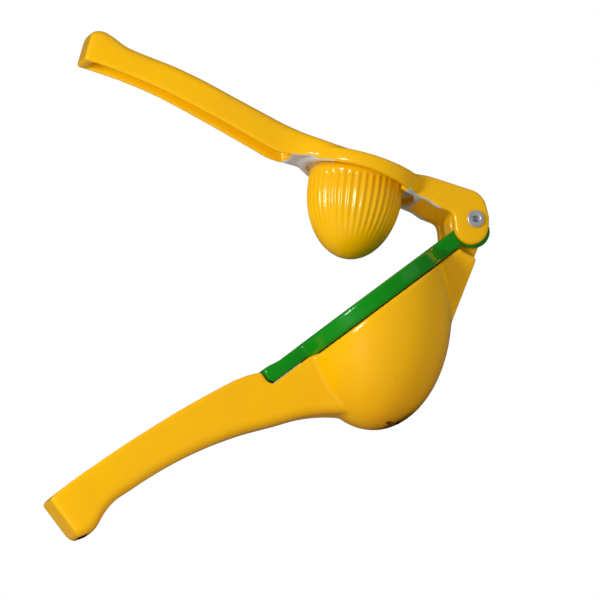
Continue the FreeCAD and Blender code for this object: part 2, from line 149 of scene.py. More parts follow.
def skin(grid, loop=False):
    """Closed mesh over grid[i, j], where each ring i closes on itself. The rings
    are joined by quads, and the end rings are closed by a face each, unless the
    last ring meets the first. Turned outwards by the sign of its volume."""
    rings, count = grid.shape[:2]
    i = np.arange(rings if loop else rings - 1)[:, None]
    j = np.arange(count)[None, :]
    here, there = i * count, (i + 1) % rings * count
    beside = (j + 1) % count
    quads = np.stack([here + j, here + beside, there + beside, there + j], -1).reshape(-1, 4)
    points = grid.reshape(-1, 3)
    corner = points[quads] - points.mean(0)
    volume = np.einsum("ij,ij->", corner[:, 0], np.cross(corner[:, 1], corner[:, 2]))
    volume += np.einsum("ij,ij->", corner[:, 0], np.cross(corner[:, 2], corner[:, 3]))
    faces = quads.tolist()
    if not loop:
        ends = [np.arange(count)[::-1], np.arange(count) + (rings - 1) * count]
        for end in ends:
            fan = points[end] - points.mean(0)
            middle = np.broadcast_to(fan.mean(0), fan.shape)
            volume += np.einsum("ij,ij->", middle, np.cross(fan, np.roll(fan, -1, 0)))
            faces.append(end.tolist())
    if volume < 0:
        faces = [face[::-1] for face in faces]
    return points, faces


def join(parts):
    """Several closed meshes as one list of points and faces."""
    points, faces, start = [], [], 0
    for part_points, part_faces in parts:
        points.append(part_points)
        faces += [[index + start for index in face] for face in part_faces]
        start += len(part_points)
    return np.concatenate(points), faces


def round_corners(corners, radius, steps=7):
    """A closed outline whose corners are true arcs: each arc is the rational
    quadratic curve from one tangent point to the next with the corner as its
    middle control point and the sine of half the corner's angle as its weight."""
    corners = np.asarray(corners, float)
    radius = np.broadcast_to(np.asarray(radius, float), corners.shape[:-1])
    before = np.roll(corners, 1, -2) - corners
    after = np.roll(corners, -1, -2) - corners
    long_before = np.linalg.norm(before, axis=-1)
    long_after = np.linalg.norm(after, axis=-1)
    before = before / np.maximum(long_before, 1e-9)[..., None]
    after = after / np.maximum(long_after, 1e-9)[..., None]
    half = np.arccos(np.clip((before * after).sum(-1), -1, 1)) / 2
    reach = radius / np.maximum(np.tan(half), 1e-6)
    reach = np.minimum(reach, 0.48 * np.minimum(long_before, long_after))
    start = corners + before * reach[..., None]
    end = corners + after * reach[..., None]
    u = np.linspace(0, 1, steps)[:, None]
    weight = np.sin(half)[..., None, None]
    a, b, c = (1 - u) ** 2, 2 * u * (1 - u) * weight, u ** 2
    arc = a * start[..., None, :] + b * corners[..., None, :] + c * end[..., None, :]
    arc = arc / (a + b + c)
    return arc.reshape(corners.shape[:-2] + (-1, 2))


def smooth_curve(at, stations):
    """Values between stations: the cubic with the stations' own slopes."""
    x, y = stations[:, 0], stations[:, 1:]
    slope = np.gradient(y, x, axis=0)
    low = np.clip(np.searchsorted(x, at) - 1, 0, len(x) - 2)
    step = (x[low + 1] - x[low])[:, None]
    t = ((at - x[low])[:, None]) / step
    first = (1 + 2 * t) * (1 - t) ** 2 * y[low] + t * (1 - t) ** 2 * step * slope[low]
    second = t * t * (3 - 2 * t) * y[low + 1] + t * t * (t - 1) * step * slope[low + 1]
    return (first + second).T


def around(profile, centre, sides=224):
    """Surface of rings: ring i lies level at profile[i] = (radius, height) round
    the reach centre[i], so a leaning bowl is a profile whose centre shifts."""
    turn = np.linspace(0, 2 * math.pi, sides, endpoint=False)
    radius, height = profile[:, :1], profile[:, 1:]
    centre = np.broadcast_to(centre, (len(profile),))[:, None]
    reach = centre + radius * np.cos(turn)
    width = radius * np.sin(turn)
    return np.stack([reach, width, np.broadcast_to(height, reach.shape)], -1)


def egg_wall(radius, depth, lean, rim, steps=90, inside=False):
    """Wall of a leaning bowl: at the share q of its depth the radius is the
    mouth's times the square root of one less q squared, the height is the rim
    less q depths and the centre has moved q leans. From the tip to the rim."""
    q = np.cos(np.linspace(0.012, math.pi / 2, steps))
    wall = np.stack([radius * np.sqrt(1 - q * q), rim - depth * q], -1)
    shift = lean * q
    return (wall[::-1], shift[::-1]) if inside else (wall, shift)


def slab(outline, low, high, edge, turn):
    """A plate with the given side outline of reach and height, from one width to
    the other, its edges rolled over by a quarter circle of the given radius."""
    outline = np.asarray(outline, float)
    along = np.roll(outline, -1, 0) - np.roll(outline, 1, 0)
    along = along / np.maximum(np.linalg.norm(along, axis=1), 1e-9)[:, None]
    normal = np.stack([along[:, 1], -along[:, 0]], -1)
    area = (outline[:, 0] * np.roll(outline[:, 1], -1)).sum()
    area -= (outline[:, 1] * np.roll(outline[:, 0], -1)).sum()
    inward = normal * (-1 if area > 0 else 1)
    quarter = np.linspace(0, math.pi / 2, 6)
    inset = edge * np.concatenate([1 - np.sin(quarter), 1 - np.sin(quarter[::-1])])
    width = np.concatenate([low + edge * (1 - np.cos(quarter)),
                            high - edge * (1 - np.cos(quarter[::-1]))])
    flat = outline[None] + inward[None] * inset[:, None, None]
    across = np.broadcast_to(width[:, None], flat.shape[:2])
    return skin(place(np.stack([flat[..., 0], across, flat[..., 1]], -1), turn))


def arc_points(centre, radius, start, end, count=24):
    """Points of an arc between two angles in degrees, as reach and height."""
    turn = np.radians(np.linspace(start, end, count))
    return np.stack([centre[0] + radius * np.cos(turn), centre[1] + radius * np.sin(turn)], -1)


def arc_through(start, middle, end, count=22):
    """Points of the circle's arc that runs from one point through another to a
    third, its centre being where the chords' right bisectors meet."""
    a, b, c = (np.asarray(point, float) for point in (start, middle, end))
    sides = 2 * np.stack([b - a, c - a])
    centre = np.linalg.solve(sides, np.array([b @ b - a @ a, c @ c - a @ a]))
    turns = np.unwrap([math.atan2(*(point - centre)[::-1]) for point in (a, b, c)])
    turn = np.linspace(turns[0], turns[2], count)
    radius = np.linalg.norm(a - centre)
    return centre + radius * np.stack([np.cos(turn), np.sin(turn)], -1)


def both(make, low, high):
    """The same plate on the near and the far side."""
    return [make(-high, -low), make(low, high)]


def rod(radius, turn, sides=96):
    """A cylinder on the pin's axis: a circle of the radius at both ends."""
    turns = np.linspace(0, 2 * math.pi, sides, endpoint=False)
    ring = np.stack([radius * np.cos(turns), radius * np.sin(turns)], -1)
    ends = [np.insert(ring, 1, width, 1) for width in (-BORE_END, BORE_END)]
    return skin(place(np.stack(ends), turn))


def post(radius, bottom, top, reach, turn, sides=160):
    """A cylinder standing on the rim's plane."""
    profile = np.array([(radius, bottom), (radius, top)])
    return skin(place(around(profile, reach, sides), turn))


def slots(reach, bottom, top, turn):
    """Radial slots: each one's outline is two half circles joined by straight
    sides, set out from the middle by the circle's radius and turned by its share
    of a full turn."""
    cap = np.linspace(-math.pi / 2, math.pi / 2, 16)
    bulge = SLOT_HALF_LENGTH + SLOT_HALF_WIDTH * np.cos(cap)
    side = SLOT_HALF_WIDTH * np.sin(cap)
    u = np.concatenate([bulge, -bulge]) + SLOT_CIRCLE
    v = np.concatenate([side, -side])
    made = []
    for turned in np.arange(SLOT_COUNT) * 2 * math.pi / SLOT_COUNT:
        c, s = math.cos(turned), math.sin(turned)
        ring = np.stack([reach + c * u - s * v, s * u + c * v], -1)
        grid = np.stack([np.insert(ring, 2, bottom, 1), np.insert(ring, 2, top, 1)])
        made.append(skin(place(grid, turn)))
    return made


def handle(stations, turn, opens, web, span, ease, rounds, count=150):
    """A channel bar: at each reach the section is the outline of a U with arcs
    at its eight corners, its top, bottom and half width following the stations.
    The channel's depth rises and falls along the handle as a quarter circle does,
    and the end face rolls over by another. It opens above or, if opens is less
    than nought, below."""
    reach = np.linspace(stations[0, 0], stations[-1, 0], count)
    top, bottom, half = smooth_curve(reach, stations)
    t = np.clip((reach - span[0]) / ease, 0, 1) * np.clip((span[1] - reach) / ease, 0, 1)
    depth = (top - bottom - web) * np.sqrt(t * (2 - t)) + 0.02
    inner = half - HANDLE_WALL
    if opens > 0:
        mouth, back, floor = top, bottom, top - depth
    else:
        mouth, back, floor = bottom, top, bottom + depth
    corners = np.stack([
        np.stack([-half, back], -1), np.stack([half, back], -1),
        np.stack([half, mouth], -1), np.stack([inner, mouth], -1),
        np.stack([inner * 0.97, floor], -1), np.stack([-inner * 0.97, floor], -1),
        np.stack([-inner, mouth], -1), np.stack([-half, mouth], -1)], 1)
    back_round, mouth_round, floor_round = rounds
    back_round = np.minimum(back_round, (top - bottom) * 0.45)
    deep = np.minimum(floor_round, depth * 0.45)
    lip = np.minimum(mouth_round, HANDLE_WALL * 0.48) + 0 * half
    thin = np.minimum(lip, depth * 0.45)
    radius = np.stack([back_round, back_round, lip, thin, deep, deep, thin, lip], 1)
    section = round_corners(corners, radius)
    grid = np.stack([np.broadcast_to(reach[:, None], section.shape[:2]),
                     section[..., 0], section[..., 1]], -1)
    end = grid[-1] - grid[-1].mean(0)
    roll = np.linspace(0, math.pi / 2, 8)[1:, None, None]
    cap = grid[-1].mean(0) + end * (1 - END_TAPER * (1 - np.cos(roll)))
    cap[..., 0] += END_ROLL * np.sin(roll[..., 0]) - END_ROLL
    grid[..., 0] = np.minimum(grid[..., 0], stations[-1, 0] - END_ROLL)
    return skin(place(np.concatenate([grid, cap]), turn))


# Meshes and how castings are made of them

def new_object(name, mesh_data):
    points, faces = mesh_data
    mesh = bpy.data.meshes.new(name)
    mesh.from_pydata(points.tolist(), [], faces)
    mesh.validate()
    mesh.update()
    obj = bpy.data.objects.new(name, mesh)
    bpy.context.scene.collection.objects.link(obj)
    return obj


def freeze(obj):
    """Puts what the modifiers make of a mesh in that mesh's place."""
    graph = bpy.context.evaluated_depsgraph_get()
    made = bpy.data.meshes.new_from_object(obj.evaluated_get(graph))
    obj.modifiers.clear()
    old = obj.data
    obj.data = made
    made.name = obj.name
    bpy.data.meshes.remove(old)
    return obj


def carve(obj, parts):
    """Takes closed meshes that don't overlap each other out of a closed mesh."""
    cutter = new_object("cutter", join(parts))
    cut = obj.modifiers.new("cut", "BOOLEAN")
    cut.operation = "DIFFERENCE"
    cut.solver = "MANIFOLD"
    cut.object = cutter
    freeze(obj)
    data = cutter.data
    bpy.data.objects.remove(cutter)
    bpy.data.meshes.remove(data)
    if len(obj.data.polygons) < 100:
        raise RuntimeError("a cut left nothing of " + obj.name)


def melt(obj, size, rounds):
    """One even skin over all that overlaps, its inner corners filled and its
    edges rounded, as enamel does over a casting."""
    even = obj.modifiers.new("even", "REMESH")
    even.mode = "VOXEL"
    even.voxel_size = size * MM
    even.adaptivity = 0.0
    if rounds:
        soft = obj.modifiers.new("soft", "SMOOTH")
        soft.factor = 0.5
        soft.iterations = rounds
    freeze(obj)


def cast(name, solids, cuts, bores, size, rounds):
    """A casting: closed solids melted together, hollows taken out, its edges
    rounded, and last its exact bores."""
    obj = new_object(name, join(solids))
    melt(obj, size * 0.8, 0)
    for parts in cuts:
        carve(obj, parts)
    melt(obj, size, rounds)
    for parts in bores:
        carve(obj, parts)
    stand(obj)
    return obj


def stand(obj):
    """Flattens whatever reaches below the table into the foot, and shades the
    mesh smoothly except across real edges."""
    mesh = obj.data
    points = np.empty(len(mesh.vertices) * 3)
    mesh.vertices.foreach_get("co", points)
    points = points.reshape(-1, 3)
    points[:, 2] = np.maximum(points[:, 2], 0.0)
    mesh.vertices.foreach_set("co", points.ravel())
    mesh.update()
    mesh.shade_smooth()
    mesh.set_sharp_from_angle(angle=math.radians(42))


def dress(obj, material, body, slot, *nodes):
    """Gives a piece its material, its body and the CAD nodes it stands for."""
    obj.data.materials.clear()
    obj.data.materials.append(material)
    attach(obj, body)
    if nodes:
        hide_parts(*nodes)


# Materials
COAT = 0.3


def add(tree, kind, links=None, **values):
    """A node with its settings, its inputs' values and the links into it."""
    node = tree.nodes.new(kind)
    inputs = values.pop("inputs", {})
    for name, value in values.items():
        setattr(node, name, value)
    for name, value in inputs.items():
        node.inputs[name].default_value = value
    for name, socket in (links or {}).items():
        tree.links.new(socket, node.inputs[name])
    return node


def group(name, inputs, outputs):
    """An empty node group with its sockets, and its input and output nodes."""
    tree = bpy.data.node_groups.new(name, "ShaderNodeTree")
    for label, kind, value in inputs:
        socket = tree.interface.new_socket(label, in_out="INPUT", socket_type=kind)
        if value is not None:
            socket.default_value = value
    for label, kind in outputs:
        tree.interface.new_socket(label, in_out="OUTPUT", socket_type=kind)
    return tree, tree.nodes.new("NodeGroupInput"), tree.nodes.new("NodeGroupOutput")


def math_node(tree, operation, first, second=None):
    node = tree.nodes.new("ShaderNodeMath")
    node.operation = operation
    for slot_number, value in enumerate((first, second)):
        if value is None:
            continue
        if isinstance(value, (int, float)):
            node.inputs[slot_number].default_value = value
        else:
            tree.links.new(value, node.inputs[slot_number])
    return node.outputs[0]


def span_node(tree, value, low, high, to_low=0.0, to_high=1.0):
    """Maps a range onto another with a smooth start and end."""
    node = add(tree, "ShaderNodeMapRange", {"Value": value}, interpolation_type="SMOOTHSTEP",
               inputs={"From Min": low, "From Max": high, "To Min": to_low, "To Max": to_high})
    return node.outputs["Result"]


def mix_node(tree, factor, first, second):
    node = tree.nodes.new("ShaderNodeMix")
    node.data_type = "RGBA"
    for name, value in (("Factor", factor), ("A", first), ("B", second)):
        socket = [s for s in node.inputs if s.name == name and s.enabled][0]
        if isinstance(value, (tuple, float, int)):
            socket.default_value = value
        else:
            tree.links.new(value, socket)
    return [s for s in node.outputs if s.enabled][0]


def enamel_group():
    """Baked enamel: slow mottling, thin pulled edges, painted shade in creases, pinholes and
    orange peel.
    """
    tree, start, end = group("baked_enamel", [
        ("Color", "NodeSocketColor", (0.8, 0.4, 0.0, 1.0)),
        ("Edge Color", "NodeSocketColor", (0.6, 0.3, 0.0, 1.0)),
        ("Peel", "NodeSocketFloat", 1.0)],
        [("Color", "NodeSocketColor"), ("Roughness", "NodeSocketFloat"),
         ("Normal", "NodeSocketVector")])
    place_at = add(tree, "ShaderNodeTexCoord").outputs["Object"]
    slow = add(tree, "ShaderNodeTexNoise", {"Vector": place_at},
               inputs={"Scale": 38.0, "Detail": 3.0, "Roughness": 0.55}).outputs["Fac"]
    fine = add(tree, "ShaderNodeTexNoise", {"Vector": place_at},
               inputs={"Scale": 520.0, "Detail": 2.0, "Roughness": 0.5}).outputs["Fac"]
    peel = add(tree, "ShaderNodeTexNoise", {"Vector": place_at},
               inputs={"Scale": 230.0, "Detail": 1.5, "Roughness": 0.45}).outputs["Fac"]
    cells = add(tree, "ShaderNodeTexVoronoi", {"Vector": place_at},
                inputs={"Scale": 190.0, "Randomness": 1.0})
    pick = add(tree, "ShaderNodeSeparateColor", {"Color": cells.outputs["Color"]})
    rare = math_node(tree, "GREATER_THAN", pick.outputs[0], 0.93)
    pin = span_node(tree, cells.outputs["Distance"], 0.05, 0.11, 1.0, 0.0)
    pin = math_node(tree, "MULTIPLY", pin, rare)
    shape = add(tree, "ShaderNodeNewGeometry").outputs["Pointiness"]
    edge = span_node(tree, shape, 0.53, 0.62)
    # Darker in creases: painted shade, mixed toward the edge colour
    crease_shade = span_node(tree, shape, 0.47, 0.40)
    mottled = mix_node(tree, span_node(tree, slow, 0.25, 0.75, 0.0, 0.22),
                       start.outputs["Color"], start.outputs["Edge Color"])
    edged = mix_node(tree, math_node(tree, "MULTIPLY", edge, 0.30), mottled,
                     start.outputs["Edge Color"])
    crease_shaded = mix_node(tree, math_node(tree, "MULTIPLY", crease_shade, 0.42), edged,
                      start.outputs["Edge Color"])
    spotted = mix_node(tree, math_node(tree, "MULTIPLY", pin, 0.22), crease_shaded,
                       (0.05, 0.03, 0.01, 1.0))
    rough = span_node(tree, slow, 0.2, 0.8, 0.12, 0.21)
    rough = math_node(tree, "ADD", rough, math_node(tree, "MULTIPLY", fine, 0.05))
    rough = math_node(tree, "ADD", rough, math_node(tree, "MULTIPLY", pin, 0.25))
    height = math_node(tree, "MULTIPLY", peel, start.outputs["Peel"])
    height = math_node(tree, "ADD", height, math_node(tree, "MULTIPLY", fine, 0.18))
    height = math_node(tree, "SUBTRACT", height, math_node(tree, "MULTIPLY", pin, 0.8))
    bump = add(tree, "ShaderNodeBump", {"Height": height},
               inputs={"Strength": 0.35, "Distance": 0.00012})
    tree.links.new(spotted, end.inputs["Color"])
    tree.links.new(rough, end.inputs["Roughness"])
    tree.links.new(bump.outputs["Normal"], end.inputs["Normal"])
    return tree


def metal_group():
    """Ground or turned metal: fine lines along one axis, dull stains."""
    tree, start, end = group("ground_metal", [
        ("Color", "NodeSocketColor", (0.6, 0.55, 0.48, 1.0)),
        ("Stretch", "NodeSocketVector", (1.0, 1.0, 1.0))],
        [("Color", "NodeSocketColor"), ("Roughness", "NodeSocketFloat"),
         ("Normal", "NodeSocketVector")])
    place_at = add(tree, "ShaderNodeTexCoord").outputs["Object"]
    scaled = add(tree, "ShaderNodeVectorMath", {0: place_at, 1: start.outputs["Stretch"]},
                 operation="MULTIPLY").outputs[0]
    lines = add(tree, "ShaderNodeTexNoise", {"Vector": scaled},
                inputs={"Scale": 900.0, "Detail": 3.0, "Roughness": 0.6}).outputs["Fac"]
    stain = add(tree, "ShaderNodeTexNoise", {"Vector": place_at},
                inputs={"Scale": 160.0, "Detail": 3.0, "Roughness": 0.6}).outputs["Fac"]
    dark = mix_node(tree, span_node(tree, stain, 0.35, 0.7, 0.0, 0.45), start.outputs["Color"],
                    (0.50, 0.46, 0.42, 1.0))
    lined = mix_node(tree, span_node(tree, lines, 0.3, 0.7, 0.0, 0.25), dark,
                     (0.78, 0.76, 0.72, 1.0))
    rough = math_node(tree, "ADD", span_node(tree, stain, 0.3, 0.7, 0.24, 0.36),
                      math_node(tree, "MULTIPLY", lines, 0.12))
    bump = add(tree, "ShaderNodeBump", {"Height": lines},
               inputs={"Strength": 0.3, "Distance": 0.00006})
    tree.links.new(lined, end.inputs["Color"])
    tree.links.new(rough, end.inputs["Roughness"])
    tree.links.new(bump.outputs["Normal"], end.inputs["Normal"])
    return tree


def new_material(name):
    material = bpy.data.materials.new(name)
    material.use_nodes = True
    tree = material.node_tree
    return material, tree, tree.nodes["Principled BSDF"]


def use(tree, made, **inputs):
    node = tree.nodes.new("ShaderNodeGroup")
    node.node_tree = made
    for name, value in inputs.items():
        node.inputs[name.replace("_", " ")].default_value = value
    return node


def enamel(name, group_tree, color, edge, peel):
    material, tree, surface = new_material(name)
    # The edge colour also paints the shade in creases
    node = use(tree, group_tree, Color=(*color, 1.0), Edge_Color=(*edge, 1.0), Peel=peel)
    tree.links.new(node.outputs["Color"], surface.inputs["Base Color"])
    tree.links.new(node.outputs["Roughness"], surface.inputs["Roughness"])
    tree.links.new(node.outputs["Normal"], surface.inputs["Normal"])
    surface.inputs["Coat Weight"].default_value = COAT
    surface.inputs["Coat Roughness"].default_value = 0.06
    surface.inputs["IOR"].default_value = 1.42
    return material, tree, surface, node


def ring_enamel_with_painted_reflection(name, enamel_tree, metal_tree, color, edge, peel):
    """Enamel with a pale painted reflection of the floor on the ring's underside, at the fork and
    at the handle's root, drawn with a metal grain: the mask is one where the surface faces down
    along the arm's own upright, its height above the pin is less than the land's, and its
    distance along the arm from the ring's axis is more than the dome needs."""
    material, tree, surface, coat = enamel(name, enamel_tree, color, edge, peel)
    # A pale colour with a metal grain that stands in for the floor's reflection: painted
    # reflection
    painted_reflection = use(tree, metal_tree, Color=(0.86, 0.81, 0.75, 1.0), Stretch=(1.0, 0.12, 1.0))
    t = math.radians(TILT - OPEN)
    upright = (-math.sin(t), 0.0, math.cos(t))
    forward = (-math.cos(t), 0.0, -math.sin(t))
    position = add(tree, "ShaderNodeTexCoord").outputs["Object"]
    offset = add(tree, "ShaderNodeVectorMath", {0: position}, operation="SUBTRACT")
    offset.inputs[1].default_value = PIN.tolist()
    height = add(tree, "ShaderNodeVectorMath", {0: offset.outputs[0]}, operation="DOT_PRODUCT")
    height.inputs[1].default_value = upright
    reach = add(tree, "ShaderNodeVectorMath", {0: offset.outputs[0]}, operation="DOT_PRODUCT")
    reach.inputs[1].default_value = forward
    ragged = add(tree, "ShaderNodeTexNoise", {"Vector": position},
                 inputs={"Scale": 300.0, "Detail": 3.0}).outputs["Fac"]
    ragged = math_node(tree, "MULTIPLY", ragged, 0.0005)
    level = math_node(tree, "ADD", height.outputs["Value"], ragged)
    low = span_node(tree, level, *PAINTED_REFLECTION_TOP, 1.0, 0.0)
    along = math_node(tree, "SUBTRACT", reach.outputs["Value"], RING_REACH * MM)
    from_axis = math_node(tree, "ABSOLUTE", along)
    aside = span_node(tree, from_axis, *PAINTED_REFLECTION_START)
    near = span_node(tree, from_axis, *PAINTED_REFLECTION_END, 1.0, 0.0)
    facing = add(tree, "ShaderNodeVectorMath", {
        0: add(tree, "ShaderNodeTexCoord").outputs["Normal"]}, operation="DOT_PRODUCT")
    facing.inputs[1].default_value = [-part for part in upright]
    down = span_node(tree, facing.outputs["Value"], 0.72, 0.86)
    mask = math_node(tree, "MULTIPLY", math_node(tree, "MULTIPLY", low, near),
                     math_node(tree, "MULTIPLY", aside, down))
    color_mix = mix_node(tree, mask, coat.outputs["Color"], painted_reflection.outputs["Color"])
    tree.links.new(color_mix, surface.inputs["Base Color"])
    rough = tree.nodes.new("ShaderNodeMix")
    tree.links.new(mask, rough.inputs["Factor"])
    tree.links.new(coat.outputs["Roughness"], rough.inputs["A"])
    tree.links.new(painted_reflection.outputs["Roughness"], rough.inputs["B"])
    tree.links.new(rough.outputs["Result"], surface.inputs["Roughness"])
    tree.links.new(math_node(tree, "MULTIPLY", mask, 0.25), surface.inputs["Metallic"])
    tree.links.new(math_node(tree, "MULTIPLY", math_node(tree, "SUBTRACT", 1.0, mask), COAT),
                   surface.inputs["Coat Weight"])
    return material


def steel(name, metal_tree):
    material, tree, surface = new_material(name)
    node = use(tree, metal_tree, Color=(0.86, 0.88, 0.95, 1.0), Stretch=(1.0, 0.4, 1.0))
    tree.links.new(node.outputs["Color"], surface.inputs["Base Color"])
    tree.links.new(node.outputs["Roughness"], surface.inputs["Roughness"])
    tree.links.new(node.outputs["Normal"], surface.inputs["Normal"])
    surface.inputs["Metallic"].default_value = 0.7
    return material


def shared(name, make):
    """A node group or material made once and found again by its name."""
    for store in (bpy.data.materials, bpy.data.node_groups):
        if name in store:
            return store[name]
    return make()


def materials(look):
    enamels = shared("baked_enamel", enamel_group)
    metals = shared("ground_metal", metal_group)
    yellow, yellow_edge_and_shade = tuple(look.yellow), tuple(look.yellow_edge_and_shade)
    green, green_edge_and_shade = tuple(look.green), tuple(look.green_edge_and_shade)
    return {
        "yellow": shared("outer_enamel", lambda: enamel(
            "outer_enamel", enamels, yellow, yellow_edge_and_shade, look.peel)[0]),
        "arm": shared("arm_enamel_with_painted_reflection", lambda: ring_enamel_with_painted_reflection(
            "arm_enamel_with_painted_reflection", enamels, metals, yellow, yellow_edge_and_shade, look.peel)),
        "green": shared("insert_enamel", lambda: enamel(
            "insert_enamel", enamels, green, green_edge_and_shade, look.peel)[0]),
        "steel": shared("pin_steel", lambda: steel("pin_steel", metals)),
    }


# Settings, operators and the panel

class SqueezerLook(bpy.types.PropertyGroup):
    yellow: FloatVectorProperty(name="Yellow", description="Colour of the outer castings",
                                subtype="COLOR", size=3, default=(0.93, 0.49, 0.0))
    # Yellow of thin enamel at edges, and also the yellow's painted shade in creases
    yellow_edge_and_shade: FloatVectorProperty(name="Yellow edge and shade", description="Yellow where it is thin, and its painted shade in creases",
                                     subtype="COLOR", size=3, default=(0.76, 0.34, 0.0))
    green: FloatVectorProperty(name="Green", description="Colour of the insert bowl",
                               subtype="COLOR", size=3, default=(0.004, 0.25, 0.006))
    # Green of thin enamel at edges, and also the green's painted shade in creases
    green_edge_and_shade: FloatVectorProperty(name="Green edge and shade", description="Green where it is thin, and its painted shade in creases",
                                    subtype="COLOR", size=3, default=(0.001, 0.14, 0.003))
    peel: FloatProperty(name="Orange peel", description="Waviness of the fired enamel",
                        default=1.0, min=0.0, max=4.0)


class SqueezerForm(bpy.types.PropertyGroup):
    skin_size: FloatProperty(name="Skin size", description="Spacing of the castings' mesh, in mm",
                             default=0.7, min=0.4, max=2.0)
    soft_rounds: IntProperty(name="Soft rounds", description="How far edges are rounded",
                             default=5, min=0, max=20)
    flute_count: IntProperty(name="Flutes", description="Flutes round the dome",
                             default=41, min=8, max=80)
    flute_depth: FloatProperty(name="Flute depth", description="Depth of a flute, in mm",
                               default=0.5, min=0.0, max=2.0)
    flute_end: FloatProperty(name="Flute end", description="Where the flutes die out, in mm",
                             default=25.0, min=12.0, max=29.0)


class SqueezerStage(bpy.types.PropertyGroup):
    distance: FloatProperty(name="Camera distance", description="From the object's middle",
                            default=5.0, min=0.3, max=20.0, unit="LENGTH")
    key_power: FloatProperty(name="Key light", description="Power of the light from the left",
                             default=4.0, min=0.0, max=200.0, unit="POWER")
    fill_power: FloatProperty(name="Fill light", description="Power of the light from the right",
                              default=0.3, min=0.0, max=200.0, unit="POWER")


class BuildStep(bpy.types.Operator):
    bl_options = {"REGISTER", "UNDO"}

    def form(self):
        return bpy.context.scene.squeezer_form

    def look(self):
        return materials(bpy.context.scene.squeezer_look)


class SQUEEZER_OT_outer_bowl(BuildStep):
    """Outer bowl with its channelled handle, hinge bracket and centre lug"""
    bl_idname = "squeezer.outer_bowl"
    bl_label = "Outer bowl and lower handle"

    def execute(self, context):
        form = self.form()
        outer, shift = egg_wall(RIM_RADIUS, BOWL_DEPTH, BOWL_LEAN, RIM_HEIGHT)
        inner, shift_in = egg_wall(RIM_RADIUS - RIM_WALL, BOWL_DEPTH - BOWL_WALL, BOWL_LEAN,
                                   RIM_HEIGHT, inside=True)
        wall = np.concatenate([outer, inner])
        centre = RIM_REACH + np.concatenate([shift, shift_in])
        bowl = skin(place(around(wall, centre), TILT))
        grip = handle(LOWER_STATIONS, TILT, 1, LOWER_WEB, LOWER_CHANNEL, LOWER_EASE,
                      (4.2, 1.0, 3.0))
        gusset = np.concatenate([
            [(BRACKET_ROOT, BRACKET_LINE[-1][1]), (BRACKET_ROOT, RIM_HEIGHT),
             (BRACKET_TOP_REACH, RIM_HEIGHT)],
            arc_through(BRACKET_PEAK, BRACKET_HOLLOW, BRACKET_CORNER), BRACKET_LINE])
        web = slab(gusset, -LUG_OUTER, LUG_OUTER, 0.8, TILT)
        lug_outline = np.concatenate([
            arc_points((0, 0), LUG_RADIUS, 0, 270, 70),
            [BRACKET_CORNER, (NECK_REACH, BRACKET_CORNER[1]), (NECK_REACH, RIM_HEIGHT)]])
        lug = slab(lug_outline, -CENTRE_FACE, CENTRE_FACE, 0.7, TILT)
        solids = [bowl, grip, web, lug]
        void, void_shift = egg_wall(RIM_RADIUS - RIM_WALL, BOWL_DEPTH - BOWL_WALL, BOWL_LEAN,
                                    RIM_HEIGHT)
        lid = np.array([(RIM_RADIUS - RIM_WALL, RIM_HEIGHT + 8.0)])
        hollow = skin(place(around(np.concatenate([void, lid]),
                                   RIM_REACH + np.concatenate([void_shift, [0.0]])), TILT))
        notch = slab([(RIM_REACH, NOTCH_FLOOR), (NOTCH_NOSE[0], NOTCH_FLOOR),
                      (NOTCH_END, NOTCH_NOSE[1]), (NOTCH_END, NOTCH_TOP),
                      (RIM_REACH, NOTCH_TOP)], -RIM_RADIUS, RIM_RADIUS, 0.01, TILT)
        low = RIM_HEIGHT - BOWL_DEPTH
        drains = slots(FOOT_REACH, low - 1, low + BOWL_DEPTH / 2, TILT)
        bore = rod(SEAT_RADIUS, TILT)
        obj = cast("outer_bowl_casting", solids, [[hollow], [notch]], [drains, [bore]],
                   form.skin_size, form.soft_rounds)
        dress(obj, self.look()["yellow"], "outer_bowl", "yellow_enamel", "lower_casting")
        return {"FINISHED"}


